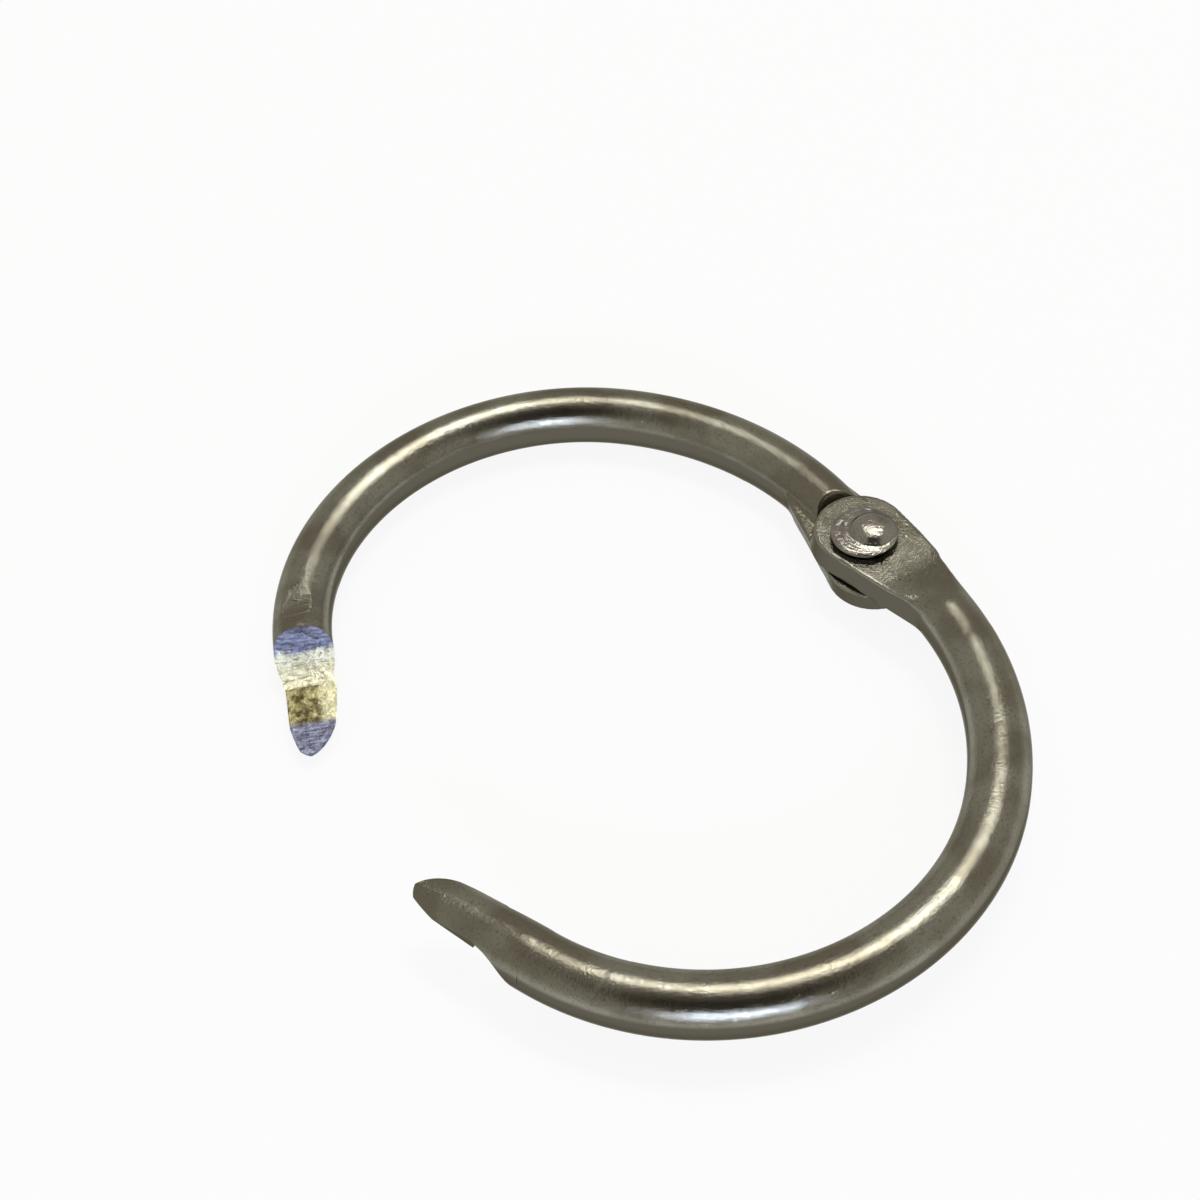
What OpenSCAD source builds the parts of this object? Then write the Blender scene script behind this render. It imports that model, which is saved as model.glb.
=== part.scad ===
/* [Ring] */
// Clear diameter inside the closed ring
ring_inside_d = 25; // [20:0.5:40]
// Diameter of the round steel wire
wire_d = 2.9; // [2.5:0.1:3.4]
// Angle by which the two halves stand open
open_angle = 33; // [2:1:90]
// Radius of the flatter stretch of wire beside the hinge, over the ring's own
flat_ratio = 1.15; // [1.05:0.01:1.2]
// Turn of the wire in that stretch
flat_turn = 61; // [50:1:70]
// Radius of the rest of the wire, over the ring's own
tight_ratio = 0.935; // [0.9:0.005:0.98]
// Turn of the wire in all, from the hinge to the tongue
wire_turn = 172.3; // [170:0.1:175]

/* [Hinge] */
// Distance of the rivet axis inside the middle line of the wire
hinge_inset = 0.2; // [0:0.05:0.5]
// Height of each wire's middle line off the face where the ears meet
wire_offset = 0.45; // [0.1:0.05:0.6]
// Diameter of the ear, at the face that meets the other ear
ear_d = 4.8; // [4.4:0.1:5.2]
// Distance of the middle of the ear past the rivet axis, away from the neck
ear_reach = 0.5; // [0.3:0.05:0.6]
// Distance of the middle of the ear outside the rivet axis
ear_out = 0.15; // [0:0.05:0.3]
// Amount by which the coined face of the ear is smaller all round
ear_draft = 0.2; // [0.1:0.05:0.5]
// Height of the two ears laid on each other
ear_stack_h = 2.4; // [2.1:0.05:2.5]
// Running gap between the two ears
ear_gap = 0.06; // [0.04:0.01:0.1]
// Gap between the end of an ear and the crescent shoulder of the other half
shoulder_gap = 0.2; // [0.15:0.05:0.5]
// Width to which the neck is spread where the coining squeezes it most
neck_spread = 3.6; // [3.2:0.1:4]
// Distance of that place from the rivet axis
spread_place = 2.4; // [2:0.1:3]
// Length of the neck in which the ear becomes round wire, from the rivet axis
neck_length = 6; // [5:0.1:7]
// Length of the coined flat, from the rivet axis
coin_length = 4.2; // [3.6:0.1:5]
// Length in which the coined flat runs out into the wire
coin_runout = 1.6; // [1:0.1:2.5]
// Radius of the scoop along the inner edge of the flat
scoop_r = 3; // [2.5:0.1:4]
// Distance of the scoop's upper edge from the rivet axis
scoop_place = 1.85; // [1.7:0.05:2.1]
// Slope at which the scoop meets the flat
scoop_slope = 30; // [20:1:45]
// Angle of the scoop to the wire
scoop_angle = 17; // [14:1:20]

/* [Rivet] */
// Diameter of the rivet's shank
shank_d = 1.8; // [1.5:0.05:2]
// Clearance between the shank and each bore, all round
shank_clearance = 0.04; // [0.02:0.01:0.08]
// Diameter of both rivet heads
head_d = 3.2; // [2.9:0.05:3.6]
// Height of the smooth head, below the ears
low_head_h = 0.75; // [0.7:0.05:0.9]
// Diameter of the flat on which the smooth head rests
low_land_d = 1.6; // [1:0.1:2]
// Height of the peened head above the ears, without its nub
peened_head_h = 0.55; // [0.45:0.05:0.7]
// Thickness of either head at its rim
head_rim_t = 0.25; // [0.15:0.05:0.35]
// Diameter of the nub in the middle of the peened head
nub_d = 1.5; // [1:0.1:1.8]
// Height of the nub above the peened head
nub_h = 0.25; // [0.1:0.05:0.4]
// Running gap under the peened head
head_gap = 0.04; // [0.02:0.01:0.08]

/* [Lock] */
// Length of the lap between the two shoulders when the ring is closed
lap_length = 5.1; // [4.8:0.1:6]
// Distance of the tooth from the shoulder, along the tongue
tooth_place = 2; // [1.9:0.05:2.2]
// Depth of the tooth's crest below the middle of the wire
tooth_depth = 0.45; // [0.4:0.05:0.55]
// Height of the tooth over the root of its notch
tooth_h = 0.42; // [0.3:0.02:0.48]
// Radius of the hollow ramp from the shoulder to the root of the notch
ramp_r = 2; // [1.9:0.05:2.3]
// Thickness left at the tongue's end
tip_t = 0.12; // [0.08:0.02:0.2]
// Gap between a tip and the other shoulder when the ring is closed
tip_gap = 0.25; // [0.2:0.05:0.4]
// Angle by which the tongue is set towards the other half
set_angle = 5; // [3:0.5:8]
// Radius of the bend that sets the tongue
set_bend_r = 6; // [4:0.5:8]
// Amount by which the tongue's outer side is cut back from the tooth on, seen from above
tongue_relief = 0.35; // [0.1:0.05:0.5]
// Radius to which the tongue's inner edge runs in at the tip, seen from above
tip_inner_r = 4.2; // [3.8:0.1:5]
// Radius to which its outer edge runs in
tip_outer_r = 1.6; // [1.4:0.1:2.5]

/* [Hidden] */
$fn = 96;
wire_r = wire_d / 2;
ring_r = ring_inside_d / 2 + wire_r;
flat_r = flat_ratio * ring_r;
tight_r = tight_ratio * ring_r;
tight_turn = wire_turn - flat_turn;
ear_r = ear_d / 2;
ear_face = ear_stack_h / 2;
mating_face = ear_gap / 2;
shoulder_r = sqrt(ear_reach * ear_reach + ear_out * ear_out) + ear_r + shoulder_gap;
bore_r = shank_d / 2 + shank_clearance;
head_r = head_d / 2;
axis_z = low_head_h + ear_face;
rivet_top_z = axis_z + ear_face + head_gap;
neck_angle = neck_length / flat_r * 180 / PI;
bend_length = set_bend_r * set_angle * PI / 180;
// Straight wire between the bend and the shoulder
land_length = 0.3;
// The bend's tube laps over the wire by this length at both ends, and by this thickness
bend_lap = 0.1;
bend_lap_t = 0.02;
lap_turn = bend_lap / set_bend_r * 180 / PI;
tip_place = lap_length - tip_gap;
root_depth = tooth_depth + tooth_h;
slice_t = 0.02;
hull_fn = 36;
// What is left on the ear's blank for the coining cut to take off
trim = 0.1;
// The neck ends this far inside the wire, and the tip's arcs start this far outside
neck_sink = 0.3;
tip_margin = 0.05;
// Share of its radius along which each of the tip's arcs runs
tip_share = 0.8;
// A length that reaches past the wire on every side
past = 3 * wire_d;

// Middle of the lap, seen from the rivet axis with the wire starting along Y
to_lap = bend_length + land_length + lap_length / 2;
lap_x = hinge_inset - flat_r + (flat_r - tight_r) * cos(flat_turn)
    + tight_r * cos(wire_turn) - to_lap * sin(wire_turn);
lap_y = (flat_r - tight_r) * sin(flat_turn) + tight_r * sin(wire_turn) + to_lap * cos(wire_turn);
// Turn that brings the middle of the lap on to the X axis, where the halves meet
closing_turn = atan2(lap_y, -lap_x);
rest_turn = open_angle / 2 - closing_turn;

// Frame in which the two arcs of the wire meet, at the X axis
module arcs_frame() {
    translate([hinge_inset - flat_r, 0, -wire_offset]) rotate([0, 0, flat_turn]) children();
}

// Frame of the wire's end: Y runs along it, X points outwards
module wire_end_frame() {
    arcs_frame() translate([flat_r - tight_r, 0, 0]) rotate([0, 0, tight_turn])
        translate([tight_r, 0, 0]) children();
}

// Round wire from the hinge to the bend, in two arcs
module wire() {
    arcs_frame() {
        mirror([0, 1, 0]) rotate_extrude(angle = flat_turn)
            translate([flat_r, 0]) circle(r = wire_r);
        translate([flat_r - tight_r, 0, 0]) rotate_extrude(angle = tight_turn)
            translate([tight_r, 0]) circle(r = wire_r);
    }
}

// Slightly smaller section below the mating face, as a thin slice where the neck ends
module neck_slice() {
    translate([hinge_inset - flat_r, 0, -wire_offset]) rotate([0, 0, neck_angle])
        rotate_extrude(angle = slice_t / flat_r * 180 / PI)
            translate([flat_r, 0]) intersection() {
                circle(r = wire_r - neck_sink, $fn = hull_fn);
                translate([-wire_r, -wire_r]) square([wire_d, wire_r + wire_offset - mating_face]);
            }
}

// Round blank below the mating face, smaller towards the punch
module coined_blank(r) {
    translate([0, 0, -ear_face - trim])
        cylinder(h = ear_face + trim - mating_face, r1 = r - ear_draft, r2 = r, $fn = 2 * hull_fn);
}

// The ear, spread wider than the wire, and the neck that leads to it, both still untrimmed
module ear_and_neck() {
    hull() {
        translate([ear_out, -ear_reach, 0]) coined_blank(ear_r);
        translate([hinge_inset, spread_place, 0]) coined_blank(neck_spread / 2);
        neck_slice();
    }
}

// What the coining punch takes off the underside, with its run-out
module coin_cut() {
    rotate([0, 0, neck_angle / 2]) rotate([90, 0, 90])
        translate([0, 0, -past]) linear_extrude(height = 2 * past)
            polygon([
                [-past, -ear_face], [coin_length, -ear_face],
                [coin_length + coin_runout, -wire_r - wire_offset], [coin_length + coin_runout, -past],
                [-past, -past]
            ]);
}

// The hollow that the punch leaves along the inner edge of the flat
module scoop_cut() {
    translate([-scoop_place, 0, -ear_face])
        rotate([0, 0, neck_angle - scoop_angle])
            translate([-scoop_r * cos(scoop_slope), 0, -scoop_r * sin(scoop_slope)])
                rotate([-90, 0, 0]) cylinder(h = coin_length + coin_runout, r = scoop_r);
}

// Room in which the other half's ear turns, down to the mating face
module swing_cut() {
    translate([0, 0, -mating_face]) cylinder(h = past, r = shoulder_r);
}

module bore_cut() {
    translate([0, 0, -past]) cylinder(h = 2 * past, r = bore_r);
}

// Frame of the tongue: the wire's end frame, set towards the other half
module tongue_frame() {
    wire_end_frame() translate([0, 0, set_bend_r])
        rotate([set_angle, 0, 0]) translate([0, 0, -set_bend_r]) children();
}

// The short bend that sets the tongue
module set_bend() {
    wire_end_frame() translate([0, 0, set_bend_r])
        rotate([-lap_turn, 0, 0]) rotate([0, 90, 0]) rotate_extrude(angle = set_angle + 2 * lap_turn)
            translate([set_bend_r, 0]) circle(r = wire_r + bend_lap_t);
}

// Side view of what the lap leaves free, from the shoulder along X and up Y
module lap_profile() {
    intersection() {
        translate([tooth_place, ramp_r - root_depth]) circle(r = ramp_r);
        translate([0, -root_depth]) square([tooth_place, ramp_r]);
    }
    polygon([
        [0, ramp_r - root_depth], [tooth_place, -tooth_depth], [tip_place, tip_t - wire_r],
        [tip_place + past, tip_t - wire_r], [tip_place + past, past], [0, past]
    ]);
}

module lap_cut() {
    translate([0, land_length, 0]) rotate([90, 0, 90]) translate([0, 0, -past])
        linear_extrude(height = 2 * past) lap_profile();
}

// Outline of the tongue from above, its two edges running in to the tip
module tip_outline() {
    inner_start = tip_place - tip_share * tip_inner_r;
    outer_start = tip_place - tip_share * tip_outer_r;
    outer_edge = wire_r - tongue_relief;
    intersection() {
        union() {
            translate([-past, -past]) square([2 * past, past + inner_start]);
            translate([tip_inner_r - wire_r - tip_margin, inner_start]) circle(r = tip_inner_r);
        }
        union() {
            polygon([
                [-past, -past], [past, -past], [past, 0], [wire_r + trim, 0],
                [outer_edge, tooth_place], [outer_edge, outer_start], [-past, outer_start]
            ]);
            translate([outer_edge - tip_outer_r, outer_start]) circle(r = tip_outer_r);
        }
    }
}

module tongue() {
    length = land_length + tip_place;
    difference() {
        union() {
            set_bend();
            tongue_frame() intersection() {
                rotate([-90, 0, 0]) cylinder(h = length, r = wire_r);
                translate([0, land_length, -past]) linear_extrude(height = 2 * past) tip_outline();
            }
        }
        tongue_frame() lap_cut();
    }
}

// One half of the ring, lower ear and lap facing up, its rivet axis at the origin
module half_ring() {
    difference() {
        union() {
            wire();
            ear_and_neck();
        }
        coin_cut();
        scoop_cut();
        swing_cut();
        bore_cut();
    }
    tongue();
}

module lower_half() {
    color("darkkhaki") translate([0, 0, axis_z]) rotate([0, 0, -rest_turn]) half_ring();
}

module upper_half() {
    color("gray") translate([0, 0, axis_z]) rotate([0, 0, rest_turn]) rotate([180, 0, 0]) half_ring();
}

// Half section of a domed head on its flat side, with a flat land at the top
module head_profile(height, land_r) {
    low = (head_r * head_r - land_r * land_r + head_rim_t * head_rim_t - height * height)
        / (2 * (head_rim_t - height));
    dome_r = sqrt(land_r * land_r + (height - low) * (height - low));
    intersection() {
        translate([0, low]) circle(r = dome_r, $fn = 360);
        square([head_r, height]);
    }
}

// The nub starts inside the head, so that the two join
module nub_profile() {
    base = peened_head_h / 2;
    rise = peened_head_h + nub_h - base;
    nub_r = nub_d / 2;
    low = (nub_r * nub_r - rise * rise) / (2 * rise);
    translate([0, base]) intersection() {
        translate([0, -low]) circle(r = rise + low);
        square([nub_r, rise]);
    }
}

module rivet() {
    sink = 0.01;
    color("silver") rotate_extrude() {
        translate([0, low_head_h]) mirror([0, 1]) head_profile(low_head_h, low_land_d / 2);
        translate([0, low_head_h - sink])
            square([shank_d / 2, rivet_top_z - low_head_h + 2 * sink]);
        translate([0, rivet_top_z]) {
            head_profile(peened_head_h, 0);
            nub_profile();
        }
    }
}

lower_half();
upper_half();
rivet();
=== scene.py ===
"""Looks of the opened binder ring: two round wire halves, riveted ear on ear."""
import math

import bpy
from mathutils import Matrix, Vector


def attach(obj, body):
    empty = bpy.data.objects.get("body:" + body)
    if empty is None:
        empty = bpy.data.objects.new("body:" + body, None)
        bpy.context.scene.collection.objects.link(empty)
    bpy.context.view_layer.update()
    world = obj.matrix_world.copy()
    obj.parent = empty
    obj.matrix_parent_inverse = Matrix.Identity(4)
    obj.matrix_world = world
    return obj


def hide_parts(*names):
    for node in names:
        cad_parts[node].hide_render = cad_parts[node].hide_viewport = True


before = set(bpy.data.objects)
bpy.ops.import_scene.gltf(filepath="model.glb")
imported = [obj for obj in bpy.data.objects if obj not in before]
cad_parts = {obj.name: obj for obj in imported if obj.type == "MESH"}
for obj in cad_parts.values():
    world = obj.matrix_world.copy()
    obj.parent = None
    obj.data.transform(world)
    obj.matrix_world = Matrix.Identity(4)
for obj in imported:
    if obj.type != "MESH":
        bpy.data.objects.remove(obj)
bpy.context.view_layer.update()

# The pieces are modelled in millimetres and brought to metres when they are placed
mm = 0.001

# Sizes of the ring, as in the part's source
ring_inside_d = 25
wire_r = 1.45
ring_r = ring_inside_d / 2 + wire_r
flat_r = 1.15 * ring_r
tight_r = 0.935 * ring_r
flat_turn = math.radians(61)
tight_turn = math.radians(172.3 - 61)
open_angle = math.radians(33)
hinge_inset = 0.2
wire_offset = 0.45
ear_r = 2.45
ear_reach = 0.5
ear_out = 0.35
ear_draft = 0.2
ear_face = 1.2
mating_face = 0.03
shoulder_r = 3.12
# The shoulder's wall leans back above this height, out to this radius at the wire's top
lean_z = 0.25
lean_top = 1.05
lean_r = 3.65
neck_length = 6
# Where the neck is spread, along the wire, and how far to each side
neck_stations = ((1.2, 2.2), (2.4, 1.96), (3.6, 1.64), (4.8, 1.45), (5.6, 1.40))
coin_length = 2.6
coin_runout_r = 8
scoop_r = 3
scoop_length = 5.8
scoop_place = 1.85
scoop_slope = math.radians(30)
scoop_angle = math.radians(17)
shank_r = 0.9
bore_r = 0.94
head_r = 1.6
low_head_h = 0.75
low_land_r = 0.8
head_gap = 0.04
axis_z = low_head_h + ear_face
lap_length = 5.1
# The dressed shoulder stands a little further back than the solid's, and the tip further out
lap_back = 0.5
tip_place = lap_length - 0.25 + lap_back + 0.15
tooth_place = 2
tooth_depth = 0.45
root_depth = tooth_depth + 0.42
ramp_r = 2.2
tip_t = 0.2
land_length = 0.3
set_angle = math.radians(5)
set_bend_r = 6
tongue_relief = 0.35
tip_inner_r = 3.6
tip_outer_r = 1.1
tip_share = 0.8
neck_angle = neck_length / flat_r
# The crisp tongue and the rounded wire overlap between these places, behind the shoulder
tongue_from = -0.55
wire_to = -0.22
tongue_room = 3
sink = 0.994
# The bruise on the lower half, in the lap's frame
dip_r = 4.2
dip_place = -1.38
dip_depth = 0.06
dip_lean = math.radians(4)
burr_size = (0.42, 0.1, 0.1)
burr_turn = math.radians(12)
burr_place = (0.05, -2.1, wire_r - 0.04)
# Longer than any section of the wire
past = 9

# Fineness of the modelling
wire_sides = 96
round_sides = 128
skin = 0.083
smooth_angle = math.radians(25)
# Turns of smoothing where the neck runs into the wire
neck_smoothing = 60


# Frames along the wire, in the half's own space: rivet axis at the origin, ears' face at z = 0
def turn(angle, axis="Z"):
    return Matrix.Rotation(angle, 4, axis)


def shift(x, y, z):
    return Matrix.Translation((x, y, z))


flat_centre = Vector((hinge_inset - flat_r, 0, -wire_offset))
tight_centre = flat_centre + turn(flat_turn) @ Vector((flat_r - tight_r, 0, 0))
wire_end = (Matrix.Translation(tight_centre) @ turn(flat_turn + tight_turn)
            @ shift(tight_r, 0, 0))
tongue_start = wire_end @ shift(0, 0, set_bend_r) @ turn(set_angle, "X") @ shift(0, 0, -set_bend_r)
shoulder = tongue_start @ shift(0, land_length - lap_back, 0)

to_lap = set_bend_r * set_angle + land_length + lap_length / 2
lap_middle = (Vector((tight_centre.x, tight_centre.y, 0))
              + turn(flat_turn + tight_turn) @ Vector((tight_r, to_lap, 0)))
closing_turn = math.atan2(lap_middle.y, -lap_middle.x)
rest_turn = open_angle / 2 - closing_turn
lower_place = shift(0, 0, axis_z) @ turn(-rest_turn)
upper_place = shift(0, 0, axis_z) @ turn(rest_turn) @ turn(math.pi, "X")


def twin_of(piece, name):
    twin = piece.copy()
    twin.data = piece.data.copy()
    twin.name = name
    bpy.context.collection.objects.link(twin)
    return twin


def only(piece):
    """Makes this the one selected and active object."""
    bpy.ops.object.select_all(action="DESELECT")
    piece.select_set(True)
    bpy.context.view_layer.objects.active = piece


def edit(piece, pick="SELECT"):
    only(piece)
    bpy.ops.object.mode_set(mode="EDIT")
    bpy.ops.mesh.select_mode(type="VERT")
    bpy.ops.mesh.select_all(action=pick)


def done():
    bpy.ops.object.mode_set(mode="OBJECT")


def pick_points(piece, wanted):
    """Selects the vertices whose place passes the test, and goes into edit mode."""
    edit(piece, "DESELECT")
    done()
    for v in piece.data.vertices:
        v.select = wanted(v.co)
    bpy.ops.object.mode_set(mode="EDIT")


def added(name):
    piece = bpy.context.object
    piece.name = name
    bpy.ops.object.transform_apply(location=True, rotation=True, scale=True)
    return piece


def clear():
    bpy.ops.object.select_all(action="DESELECT")


def block(name, low, high):
    clear()
    size = [b - a for a, b in zip(low, high)]
    middle = [(a + b) / 2 for a, b in zip(low, high)]
    bpy.ops.mesh.primitive_cube_add(size=1, location=middle, scale=size)
    return added(name)


def rod(name, r, low, high, x=0, y=0, sides=round_sides):
    clear()
    bpy.ops.mesh.primitive_cylinder_add(
        vertices=sides, radius=r, depth=high - low, location=(x, y, (low + high) / 2))
    return added(name)


def cross_rod(name, r, y, z):
    """A rod that lies across the wire, along X."""
    clear()
    bpy.ops.mesh.primitive_cylinder_add(
        vertices=2 * round_sides, radius=r, depth=2 * past, location=(0, y, z),
        rotation=(0, math.radians(90), 0))
    return added(name)


def slice_off(piece, point, normal):
    """Cuts away what lies on the side the normal points to, and closes the cut."""
    edit(piece)
    bpy.ops.mesh.bisect(plane_co=point, plane_no=Vector(normal).normalized(),
                        use_fill=True, clear_outer=True)
    done()


def put(piece, place):
    piece.matrix_world = place @ piece.matrix_world
    only(piece)
    bpy.ops.object.transform_apply(location=True, rotation=True, scale=True)
    return piece


def finish_modifier(piece, kind, **settings):
    mod = piece.modifiers.new(kind.lower(), kind)
    for key, value in settings.items():
        setattr(mod, key, value)
    only(piece)
    bpy.ops.object.modifier_apply(modifier=mod.name)


def combine(piece, tool, operation="DIFFERENCE"):
    finish_modifier(piece, "BOOLEAN", operation=operation, solver="EXACT", object=tool)
    bpy.data.objects.remove(tool, do_unlink=True)


def join(pieces):
    only(pieces[0])
    for p in pieces:
        p.select_set(True)
    bpy.ops.object.join()
    return pieces[0]


def bent_wire():
    """Round wire from the hinge to the tongue's end: two arcs, the short set, a straight end."""
    clear()
    bpy.ops.mesh.primitive_circle_add(
        vertices=wire_sides, radius=wire_r, location=(hinge_inset, 0, -wire_offset),
        rotation=(math.radians(90), 0, 0))
    wire = added("wire")
    edit(wire)
    bpy.ops.mesh.spin(steps=90, angle=-flat_turn, center=flat_centre, axis=(0, 0, 1))
    bpy.ops.mesh.spin(steps=150, angle=-tight_turn, center=tight_centre, axis=(0, 0, 1))
    bpy.ops.mesh.spin(steps=8, angle=-set_angle, center=wire_end @ Vector((0, 0, set_bend_r)),
                      axis=wire_end.to_3x3() @ Vector((1, 0, 0)))
    along = tongue_start.to_3x3() @ Vector((0, land_length + tip_place + 0.5, 0))
    bpy.ops.mesh.extrude_region_move(TRANSFORM_OT_translate={"value": along})
    bpy.ops.mesh.select_all(action="SELECT")
    bpy.ops.mesh.fill_holes(sides=0)
    bpy.ops.mesh.normals_make_consistent(inside=False)
    done()
    return wire


def coined_blank(name, r, x, y):
    """Round blank below the ears' face, smaller towards the punch."""
    low = -ear_face - 0.1
    blank = rod(name, r, low, -mating_face, x, y)
    pick_points(blank, lambda p: p.z < low + 0.01)
    share = (r - ear_draft) / r
    bpy.ops.transform.resize(value=(share, share, 1), center_override=(x, y, low))
    done()
    return blank


def ear_and_neck():
    blanks = [coined_blank("ear", ear_r, ear_out, -ear_reach)]
    for along, r in neck_stations:
        spot = flat_centre + turn(along / flat_r) @ Vector((flat_r, 0, 0))
        blanks.append(coined_blank("neck", r, spot.x, spot.y))
    clear()
    centre = flat_centre + turn(neck_angle) @ Vector((flat_r, 0, 0))
    bpy.ops.mesh.primitive_circle_add(
        vertices=36, radius=wire_r - 0.3, location=centre, fill_type="NGON",
        rotation=(math.radians(90), 0, neck_angle))
    end = added("neck_end")
    slice_off(end, (0, 0, -mating_face), (0, 0, 1))
    whole = join(blanks + [end])
    edit(whole)
    bpy.ops.mesh.convex_hull()
    bpy.ops.mesh.normals_make_consistent(inside=False)
    done()
    return whole


def coin_tool():
    """The punch that flattens the ear's underside, with its run-out."""
    tool = block("coin", (-past, -past, -past), (past, coin_length, -ear_face))
    runout = cross_rod("runout", coin_runout_r, coin_length, -ear_face - coin_runout_r)
    slice_off(runout, (0, coin_length - 0.5, 0), (0, -1, 0))
    slice_off(runout, (0, 0, -past), (0, 0, -1))
    combine(tool, runout, "UNION")
    return put(tool, turn(neck_angle / 2))


def scoop_tool():
    clear()
    length = scoop_length
    bpy.ops.mesh.primitive_cylinder_add(
        vertices=2 * round_sides, radius=scoop_r, depth=length, location=(0, length / 2, 0),
        rotation=(math.radians(90), 0, 0))
    tool = added("scoop")
    place = (shift(-scoop_place, 0, -ear_face) @ turn(neck_angle - scoop_angle)
             @ shift(-scoop_r * math.cos(scoop_slope), 0, -scoop_r * math.sin(scoop_slope)))
    return put(tool, place)


def swing_tool():
    """Room for the other half's ear; its wall leans back towards the top of the wire."""
    tool = rod("swing", shoulder_r, -mating_face, past)
    lean = rod("lean", shoulder_r, lean_z, lean_top + 1)
    share = (lean_r + (lean_r - shoulder_r) / (lean_top - lean_z)) / shoulder_r
    pick_points(lean, lambda p: p.z > lean_top)
    bpy.ops.transform.resize(value=(share, share, 1), center_override=(0, 0, 0))
    done()
    combine(tool, lean, "UNION")
    return tool


def notch_tool():
    """The hollow ramp from the shoulder to the foot of the tooth."""
    tool = cross_rod("notch", ramp_r, tooth_place, ramp_r - root_depth)
    slice_off(tool, (0, tooth_place, 0), (0, 1, 0))
    return put(tool, shoulder)


def wedge_tool():
    """The flat slope from the tooth's crest to the tip."""
    tool = block("wedge", (-past, tooth_place - 0.001, -past), (past, past, past))
    rise = tip_t - wire_r + tooth_depth
    slice_off(tool, (0, tooth_place, -tooth_depth), (0, rise, -(tip_place - tooth_place)))
    return put(tool, shoulder)


def head_room_tool():
    tool = block("room", (-past, 0, ramp_r - root_depth), (past, tooth_place, past))
    return put(tool, shoulder)


def tip_tools():
    """What the trimming die takes off both sides of the tip."""
    inner_start = tip_place - tip_share * tip_inner_r
    outer_start = tip_place - tip_share * tip_outer_r
    outer_edge = wire_r - tongue_relief
    inner = block("inner_trim", (-past, inner_start, -past), (past, 2 * past, past))
    combine(inner, rod("inner_round", tip_inner_r, -2 * past, 2 * past,
                       tip_inner_r - wire_r - 0.05, inner_start, 2 * round_sides))
    slice_off(inner, (-wire_r + 2 * tip_inner_r - 0.2, 0, 0), (1, 0, 0))
    outer = block("outer_trim", (0, outer_start - 0.1, -past), (past, 2 * past, past))
    combine(outer, rod("outer_round", tip_outer_r, -2 * past, 2 * past,
                       outer_edge - tip_outer_r + 0.02, outer_start))
    side = block("side_trim", (outer_edge, -0.1, -past - 1), (past + 1, 3 * past, past + 1))
    slice_off(side, (wire_r + 0.1, 0, 0), (-tooth_place, outer_edge - wire_r - 0.1, 0))
    return [put(tool, shoulder) for tool in (inner, side, outer)]


def soften(piece, times, wanted=None, share=0.5):
    """Rounds edges a little, over the whole piece or where the place passes the test."""
    group = ""
    if wanted:
        chosen = piece.vertex_groups.new(name="soft")
        chosen.add([v.index for v in piece.data.vertices if wanted(v.co)], 1.0, "REPLACE")
        group = "soft"
    finish_modifier(piece, "SMOOTH", factor=share, iterations=times, vertex_group=group)
    if wanted:
        piece.vertex_groups.clear()


def half_ring():
    """One stamped half in its own space."""
    half = bent_wire()
    combine(half, ear_and_neck(), "UNION")
    tools = [coin_tool(), scoop_tool(), swing_tool()]
    tools += [rod("bore", bore_r, -past, past), wedge_tool(), notch_tool(), head_room_tool()]
    tools += tip_tools()
    for tool in tools:
        combine(half, tool)
    # The tongue keeps its crisp cuts; the worn rest is given an even, rounded skin
    tongue = twin_of(half, "tongue")
    side = tongue_room
    kept = block("kept", (-side, tongue_from, -side), (side, past, side))
    gone = block("gone", (-side, wire_to, -side), (side, past, side))
    combine(tongue, put(kept, shoulder), "INTERSECT")
    combine(half, put(gone, shoulder))
    # Its start sinks a hair into the rest, so that no seam shows
    pick_points(tongue, lambda p: (shoulder.inverted() @ p).y < tongue_from + 0.01)
    bpy.ops.transform.resize(value=(sink, sink, sink),
                             center_override=shoulder @ Vector((0, tongue_from, 0)))
    done()
    finish_modifier(half, "REMESH", mode="VOXEL", voxel_size=skin)
    soften(half, 3)
    # First the run-out of the punch underneath, then the neck's outer side
    soften(half, neck_smoothing, lambda p: p.z < -0.5 and 4.4 < p.y < 8)
    soften(half, neck_smoothing, lambda p: p.x > 0.9 and 3.4 < p.y < 7.5)
    only(half)
    bpy.ops.object.shade_smooth()
    only(tongue)
    bpy.ops.object.shade_smooth_by_angle(angle=smooth_angle)
    return half, tongue


def bruise(half):
    """A shallow dip in the top of the wire just behind the shoulder, with a burr at its end."""
    dip = cross_rod("dip", dip_r, dip_place, wire_r + dip_r - dip_depth)
    combine(half, put(dip, shoulder @ turn(dip_lean, "Y")))
    clear()
    bpy.ops.mesh.primitive_uv_sphere_add(segments=48, ring_count=24, radius=1)
    burr = added("burr")
    bpy.ops.transform.resize(value=burr_size)
    bpy.ops.transform.rotate(value=burr_turn, orient_axis="Z", center_override=(0, 0, 0))
    bpy.ops.object.transform_apply(location=True, rotation=True, scale=True)
    combine(half, put(burr, shoulder @ shift(*burr_place)), "UNION")
    soften(half, 3, lambda p: -3 < (shoulder.inverted() @ p).y < -0.6)


def feel_edges(half):
    """Stores on every point how far it stands out over its surroundings, in millimetres."""
    even = twin_of(half, "even")
    finish_modifier(even, "SMOOTH", factor=0.5, iterations=10)
    if "edge" in half.data.attributes:
        half.data.attributes.remove(half.data.attributes["edge"])
    edge = half.data.attributes.new("edge", "FLOAT", "POINT")
    for v, flat in zip(half.data.vertices, even.data.vertices):
        edge.data[v.index].value = (v.co - flat.co).dot(v.normal)
    bpy.data.objects.remove(even, do_unlink=True)


def placed_copy(piece, name, place):
    return put(twin_of(piece, name), Matrix.Scale(mm, 4) @ place)


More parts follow.
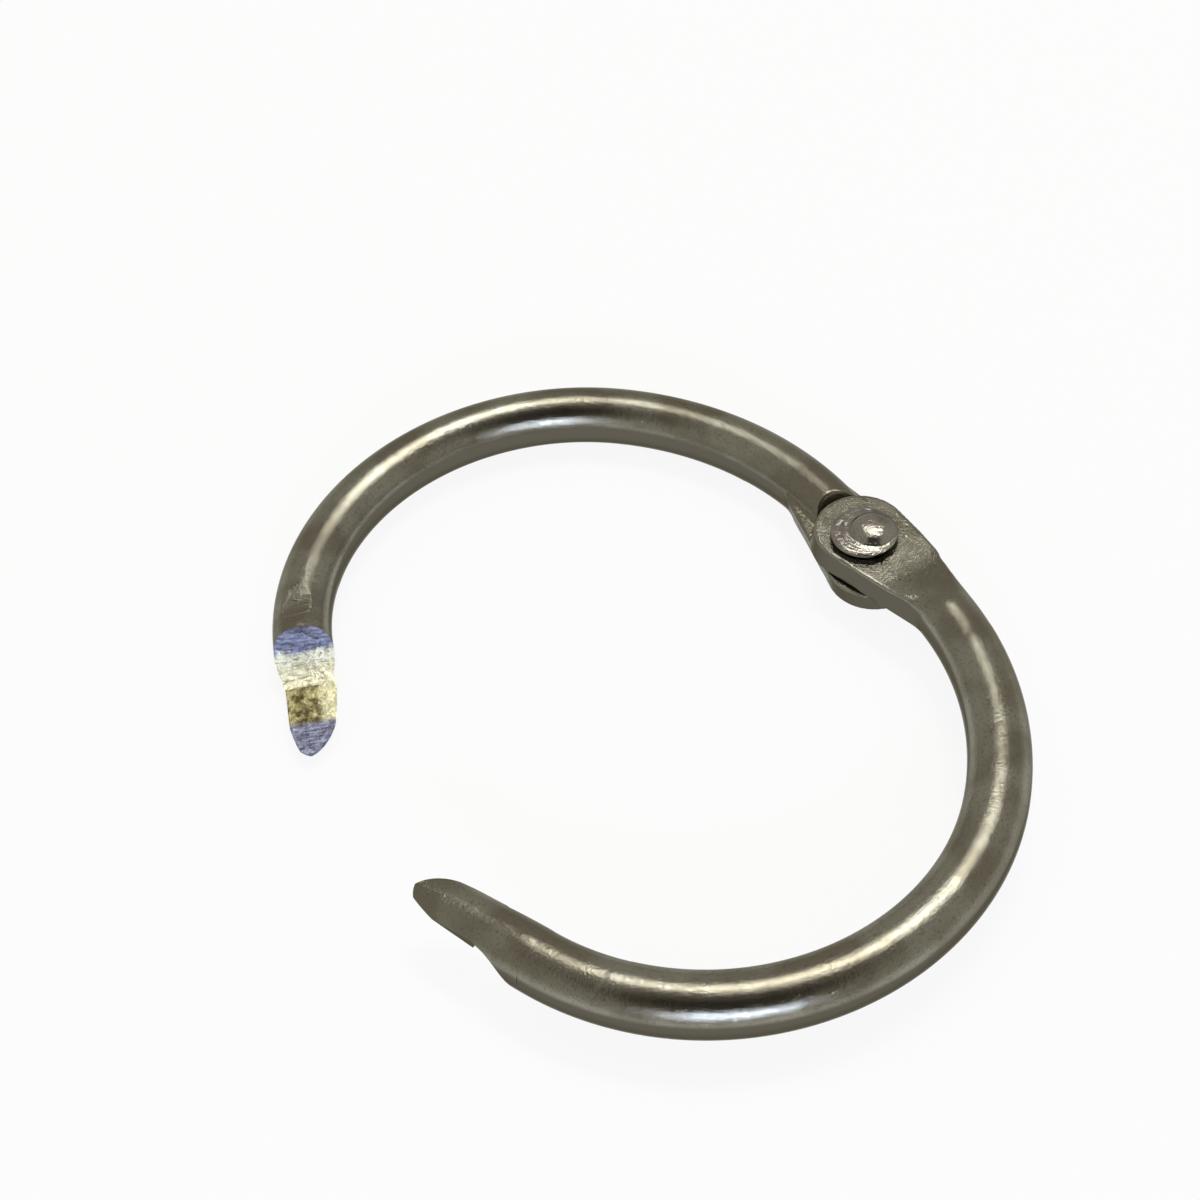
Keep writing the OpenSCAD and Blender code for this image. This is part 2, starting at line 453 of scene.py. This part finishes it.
def turned(name, stations, sides=96):
    """A round piece, drawn out ring by ring: each station is a radius, a height and an offset."""
    clear()
    r, z = stations[0][:2]
    bpy.ops.mesh.primitive_circle_add(vertices=sides, radius=r, location=(0, 0, z),
                                      fill_type="NOTHING")
    piece = added(name)
    edit(piece)
    x, y = 0, 0
    for station in stations[1:]:
        new_r, new_z = station[:2]
        new_x, new_y = station[2] if len(station) > 2 else (0, 0)
        bpy.ops.mesh.extrude_region_move(
            TRANSFORM_OT_translate={"value": (new_x - x, new_y - y, new_z - z)})
        bpy.ops.transform.resize(value=(new_r / r, new_r / r, 1),
                                 center_override=(new_x, new_y, new_z))
        r, z, x, y = new_r, new_z, new_x, new_y
    bpy.ops.mesh.select_all(action="SELECT")
    bpy.ops.mesh.fill_holes(sides=0)
    bpy.ops.mesh.normals_make_consistent(inside=False)
    done()
    return piece


def rivet():
    """Smooth pan head below, shank, and the peened head with its rings and nub above."""
    top = axis_z + ear_face + head_gap
    off = (0.32, -0.2)
    near = (0.15, -0.09)
    stations = [(0.25, 0.0), (low_land_r, 0.0)]
    for i in range(1, 9):
        a = math.radians(90 * i / 8)
        stations.append((low_land_r + (head_r - low_land_r) * math.sin(a),
                         (low_head_h - 0.25) * (1 - math.cos(a))))
    stations += [(head_r, low_head_h - 0.06), (head_r - 0.06, low_head_h)]
    stations += [(shank_r, low_head_h), (shank_r, top)]
    stations += [(head_r - 0.12, top), (head_r - 0.02, top + 0.16), (head_r + 0.05, top + 0.3)]
    stations += [(head_r + 0.03, top + 0.37), (1.52, top + 0.42), (1.43, top + 0.45)]
    stations += [(1.36, top + 0.44, near), (1.3, top + 0.46, near), (1.21, top + 0.49, near)]
    stations += [(1.14, top + 0.49, off), (1.07, top + 0.53, off), (0.98, top + 0.63, off)]
    stations += [(0.82, top + 0.75, off), (0.6, top + 0.84, off), (0.33, top + 0.9, off)]
    stations.append((0.1, top + 0.92, off))
    piece = turned("hinge_rivet", stations)
    finish_modifier(piece, "BEVEL", width=0.02, segments=2, limit_method="ANGLE")
    finish_modifier(piece, "SUBSURF", levels=2, render_levels=2)
    only(piece)
    bpy.ops.object.shade_smooth()
    return put(piece, Matrix.Scale(mm, 4))


class Flow:
    """A shader socket that works in Python expressions."""

    def __init__(self, nodes, socket):
        self.nodes = nodes
        self.socket = socket

    def maths(self, operation, a, b=None):
        values = {0: a} if b is None else {0: a, 1: b}
        return self.nodes.add("ShaderNodeMath", {"operation": operation}, values)

    def __add__(self, other):
        return self.maths("ADD", self, other)

    def __radd__(self, other):
        return self.maths("ADD", other, self)

    def __sub__(self, other):
        return self.maths("SUBTRACT", self, other)

    def __rsub__(self, other):
        return self.maths("SUBTRACT", other, self)

    def __mul__(self, other):
        return self.maths("MULTIPLY", self, other)

    def __rmul__(self, other):
        return self.maths("MULTIPLY", other, self)

    def over(self, low, high):
        """0 at low, 1 at high, with a soft step between."""
        return self.nodes.add("ShaderNodeMapRange", {"interpolation_type": "SMOOTHSTEP"},
                              {0: self, 1: low, 2: high})


class Nodes:
    """Adds nodes to a material or to the world."""

    def __init__(self, tree):
        self.tree = tree

    def add(self, kind, settings=None, values=None, out=0):
        node = self.tree.nodes.new(kind)
        for key, value in (settings or {}).items():
            if key == "stops":
                self.set_stops(node.color_ramp, value)
            else:
                setattr(node, key, value)
        for key, value in (values or {}).items():
            self.feed(node.inputs[key], value)
        return Flow(self, node.outputs[out])

    def set_stops(self, ramp, stops):
        while len(ramp.elements) < len(stops):
            ramp.elements.new(0.5)
        for element, (place, colour) in zip(ramp.elements, stops):
            element.position = place
            element.color = (*colour, 1)

    def feed(self, socket, value):
        if isinstance(value, Flow):
            self.tree.links.new(value.socket, socket)
        elif socket.type == "RGBA" and len(value) == 3:
            socket.default_value = (*value, 1)
        else:
            socket.default_value = value

    def mix(self, share, a, b):
        return self.add("ShaderNodeMix", {"data_type": "RGBA"}, {0: share, 6: a, 7: b}, out=2)

    def noise(self, place, scale, detail=3, rough=0.5):
        return self.add("ShaderNodeTexNoise", {},
                        {"Vector": place, "Scale": scale, "Detail": detail, "Roughness": rough})

    def toward(self, direction):
        """How far the direction looked in agrees with this one, from -1 to 1."""
        place = self.add("ShaderNodeTexCoord", {}, {}, out=0)
        return self.add("ShaderNodeVectorMath", {"operation": "DOT_PRODUCT"},
                        {0: place, 1: direction}, out=1)


class Finish(Nodes):
    """A material and its nodes."""

    def __init__(self, name):
        self.material = bpy.data.materials.new(name)
        self.material.use_nodes = True
        super().__init__(self.material.node_tree)
        self.shader = self.tree.nodes["Principled BSDF"]

    def where(self, space=None):
        """Place on the piece in millimetres, or in the space that the matrix leads to."""
        place = self.add("ShaderNodeTexCoord", {}, {}, out=3)
        values = {"Vector": place, "Scale": (1 / mm, 1 / mm, 1 / mm)}
        if space:
            values["Rotation"] = space.to_euler()
            values["Location"] = space.to_translation()
        return self.add("ShaderNodeMapping", {}, values)

    def part(self, place, axis):
        """One of the three parts of a place: 0, 1 or 2."""
        return self.add("ShaderNodeSeparateXYZ", {}, {0: place}, out=axis)

    def up(self):
        """Height part of the surface's normal."""
        normal = self.add("ShaderNodeNewGeometry", {}, {}, out=1)
        return self.add("ShaderNodeSeparateXYZ", {}, {0: normal}, out=2)

    def bump(self, height, distance, strength=1.0, under=None):
        values = {"Height": height, "Distance": distance, "Strength": strength}
        if under:
            values["Normal"] = under
        return self.add("ShaderNodeBump", {}, values)

    def set(self, **values):
        for key, value in values.items():
            self.feed(self.shader.inputs[key.replace("_", " ")], value)


def nickel(name, light, dark, rough, grain=0.010, pits=0.02, edge_glint_and_wear=0.0, dents=0.0):
    """Dull nickel plate: soft colour drift, fine grain, painted shade on the flanks and below, a
    patch of small pits whose pale colour is painted glints, pale edges that are partly wear and
    partly painted glints, concave spots darkened nearly to black.
    """
    m = Finish(name)
    place = m.where()
    drift = m.noise(place, 0.3, 2)
    fine = m.noise(place, 8.0, 4, 0.6)
    grit = m.noise(place, 20.0, 2, 0.5)
    colour = m.mix(drift.over(0.38, 0.62), light, dark)
    colour = m.mix(fine.over(0.5, 0.72) * 0.45, colour, tuple(0.45 * c for c in dark))
    # Painted shade: faces that turn sideways or down get a darker colour
    side = m.up().over(flank_shade_start, flank_shade_end)
    colour = m.mix(side, tuple(painted_flank_shade * c for c in dark), colour)
    # Small pits in a patch on top faces: their bump is real, their pale colour is painted glints
    cells = m.add("ShaderNodeTexVoronoi", {}, {"Vector": place, "Scale": 4.5}, out=0)
    from_spot = m.add("ShaderNodeVectorMath", {"operation": "DISTANCE"},
                      {0: place, 1: (1.5, -0.6, 3.1)}, out=1)
    patch = (1.0 - from_spot.over(0.8, 1.3)) * m.up().over(0.9, 0.97)
    pit_and_glint = (1.0 - cells.over(0.08, 0.2)) * patch
    colour = m.mix(pit_and_glint * 0.8, colour, (0.85, 0.83, 0.7))
    if edge_glint_and_wear:
        edge = m.add("ShaderNodeAttribute", {"attribute_name": "edge"}, {}, out=2)
        # Pale edges are partly wear and partly painted glints; concave spots are darkened nearly
        # to black
        edge_relief = edge + (fine - 0.5) * 0.03
        colour = m.mix(edge_relief.over(0.02, 0.05) * edge_glint_and_wear, colour, (0.9, 0.87, 0.72))
        colour = m.mix(1.0 - edge_relief.over(-0.06, -0.02), colour, (0.03, 0.028, 0.02))
    waves = m.noise(place, 0.9, 2)
    height = m.bump(grit, grain * mm)
    height = m.bump(fine, 1.2 * grain * mm, under=height)
    height = m.bump(waves, 1.6 * grain * mm, under=height)
    height = m.bump(1.0 - pit_and_glint, pits * mm, under=height)
    if dents:
        height = m.bump(m.noise(place, 1.8, 2), dents * mm, under=height)
    m.set(Base_Color=colour, Metallic=1.0, Normal=height, Specular_Tint=edge_tint,
          Roughness=fine.over(0.2, 0.8) * 0.08 + rough)
    return m.material


def struck_lap_and_painted_lights(name, space):
    """Steel where the die tore the lap, its colours mostly painted light: painted bluish
    reflections on the wall and the tip, a painted pale yellow highlight on the ramp, a rough
    mottled slope with a painted highlight at one side, dark flecks.
    """
    m = Finish(name)
    place = m.where(space)
    across = m.part(place, 0)
    along = m.part(place, 1)
    coarse = m.noise(place, 1.4, 4, 0.6)
    fine = m.noise(place, 6.0, 4, 0.65)
    thin = m.add("ShaderNodeMapping", {}, {"Vector": place, "Scale": (1.0, 5.0, 5.0)})
    streaks = m.noise(thin, 1.6, 4, 0.6)
    ragged = along + (coarse - 0.5) * 0.5
    # Painted reflections: a bluish colour for the wall and tip, a pale yellow highlight for the
    # ramp
    painted_cool_reflection = m.mix(streaks.over(0.3, 0.7), (0.13, 0.13, 0.18), (0.34, 0.37, 0.55))
    painted_warm_highlight = m.mix(streaks.over(0.32, 0.5), (0.5, 0.47, 0.3), (0.98, 0.96, 0.75))
    slope_mottle_and_highlight = m.mix(coarse.over(0.42, 0.6), (0.13, 0.10, 0.04), (0.50, 0.46, 0.24))
    # Painted highlight: one side of the slope turns pale yellow
    slope_mottle_and_highlight = m.mix((0.0 - across).over(0.2, 0.9), slope_mottle_and_highlight, (0.85, 0.82, 0.55))
    colour = m.mix(ragged.over(0.08, 0.28), painted_cool_reflection, painted_warm_highlight)
    colour = m.mix(along.over(1.85, 2.1), colour, slope_mottle_and_highlight)
    colour = m.mix(ragged.over(3.8, 4.2), colour, painted_cool_reflection)
    colour = m.mix(fine.over(0.55, 0.72) * 0.6, colour, (0.10, 0.09, 0.06))
    height = m.bump(coarse, 0.25 * mm)
    height = m.bump(fine, 0.06 * mm, under=height)
    m.set(Base_Color=colour, Metallic=1.0, Normal=height, Specular_Tint=edge_tint,
          Roughness=fine * 0.2 + 0.22)
    return m.material


def dress(piece, finish):
    piece.data.materials.clear()
    piece.data.materials.append(finish)


# The halves and the rivet
half, tongue = half_ring()
feel_edges(half)
upper = join([placed_copy(half, "upper_wire", upper_place),
              placed_copy(tongue, "upper_tongue", upper_place)])
bruise(half)
feel_edges(half)
lower = join([placed_copy(half, "lower_wire", lower_place),
              placed_copy(tongue, "lower_tongue", lower_place)])
bpy.data.objects.remove(half, do_unlink=True)
bpy.data.objects.remove(tongue, do_unlink=True)
pin = rivet()

# Painted shade: the plate's colour is darker on the flanks and below than on top
flank_shade_start = 0.25
flank_shade_end = 0.42
painted_flank_shade = 0.6
edge_tint = (0.45, 0.44, 0.40)
plate = nickel("nickel_plate", (0.28, 0.27, 0.225), (0.20, 0.185, 0.145), 0.05, edge_glint_and_wear=0.9)
peened = nickel("nickel_rivet", (0.33, 0.31, 0.27), (0.22, 0.20, 0.19), 0.07, dents=0.06)


def mark_lap(piece, place):
    """Gives the cut faces of the lap their own finish, with its painted reflections and
    highlights.
    """
    to_lap_space = shoulder.inverted() @ place.inverted() @ Matrix.Scale(1 / mm, 4)
    dress(piece, plate)
    piece.data.materials.append(struck_lap_and_painted_lights(piece.name + "_lap", to_lap_space))
    for face in piece.data.polygons:
        spot = to_lap_space @ face.center
        facing = (to_lap_space.to_3x3() @ face.normal).normalized()
        round_r = math.hypot(spot.x, spot.z)
        cut = round_r < wire_r - 0.02 and (facing.z > 0.3 or facing.y > 0.35)
        if spot.y > -0.4 and cut:
            face.material_index = 1


mark_lap(lower, lower_place)
mark_lap(upper, upper_place)
dress(pin, peened)

for piece, body, node in ((lower, "lower", "lower_half"), (upper, "upper", "upper_half"),
                          (pin, "lower", "rivet")):
    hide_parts(node)
    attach(piece, body)

# Camera, fitted to the outlines in the photograph
camera_place = Vector((-44.899, -56.947, 80.858)) * mm
camera_right = Vector((0.847249, -0.527553, -0.062104))
camera_up = Vector((0.431192, 0.614749, 0.660421))
frame_px = 1200
focal_px = 2172.66
sensor = 36

camera_data = bpy.data.cameras.new("camera")
camera_data.sensor_width = sensor
camera_data.sensor_fit = "HORIZONTAL"
camera_data.lens = focal_px / frame_px * sensor
camera_data.clip_start = 0.001
camera = bpy.data.objects.new("camera", camera_data)
bpy.context.collection.objects.link(camera)
camera_back = camera_right.cross(camera_up)
camera.matrix_world = (Matrix.Translation(camera_place)
                       @ Matrix((camera_right, camera_up, camera_back)).transposed().to_4x4())
bpy.context.scene.camera = camera

# Floor
clear()
bpy.ops.mesh.primitive_plane_add(size=4)
floor = bpy.context.object
floor.name = "floor"
pale = Finish("pale_floor")
pale.set(Base_Color=(0.9, 0.9, 0.9), Roughness=0.9)
path = pale.tree.nodes.new("ShaderNodeLightPath")
seen = (Flow(pale, path.outputs["Is Camera Ray"]) + Flow(pale, path.outputs["Is Glossy Ray"])
        + Flow(pale, path.outputs["Is Transmission Ray"]))
glow = pale.add("ShaderNodeEmission", {}, {"Color": (1, 1, 1), "Strength": 1.0})
whole = pale.add("ShaderNodeMixShader", {}, {0: seen * 0.9, 1: Flow(pale, pale.shader.outputs[0]),
                                             2: glow})
pale.feed(pale.tree.nodes["Material Output"].inputs[0], whole)
dress(floor, pale.material)

# Studio: a soft world, a lamp above and behind, a cool low one in front
away = Vector((0.468, 0.884, 0))
across = Vector((0.884, -0.468, 0))

world = bpy.data.worlds.new("studio")
bpy.context.scene.world = world
world.use_nodes = True


def lamp(name, at, width, height, power, colour):
    data = bpy.data.lights.new(name, "AREA")
    data.shape = "RECTANGLE"
    data.size = width
    data.size_y = height
    data.energy = power
    data.color = colour
    obj = bpy.data.objects.new(name, data)
    bpy.context.collection.objects.link(obj)
    back = at.normalized()
    up = Vector((0, 0, 1)) if abs(back.z) < 0.99 else away
    right = up.cross(back).normalized()
    obj.matrix_world = (Matrix.Translation(at)
                        @ Matrix((right, back.cross(right), back)).transposed().to_4x4())
    return obj


def aloft(elevation, distance, sideways=0.0, behind=True):
    e = math.radians(elevation)
    flat = away if behind else -away
    return (flat * math.cos(e) + Vector((0, 0, math.sin(e)))) * distance + across * sideways


sky = Nodes(world.node_tree)
shaded = sky.toward(aloft(58, 1, 0, False)).over(0.80, 0.96)
room = sky.mix(shaded, (0.55, 0.53, 0.47), (0.07, 0.06, 0.06))
in_view = sky.add("ShaderNodeLightPath", {}, {}, out=0)
sky.feed(world.node_tree.nodes["Background"].inputs["Color"], sky.mix(in_view, room, (1, 1, 1)))

lamp("window_lamp", aloft(70, 0.6, 0.09), 0.28, 0.10, 1.3, (1.0, 0.99, 0.93))
lamp("cool_lamp", aloft(20, 0.6, 0.0, False), 0.26, 0.02, 1.4, (0.62, 0.73, 1.0))

bpy.context.scene.view_settings.view_transform = "Standard"
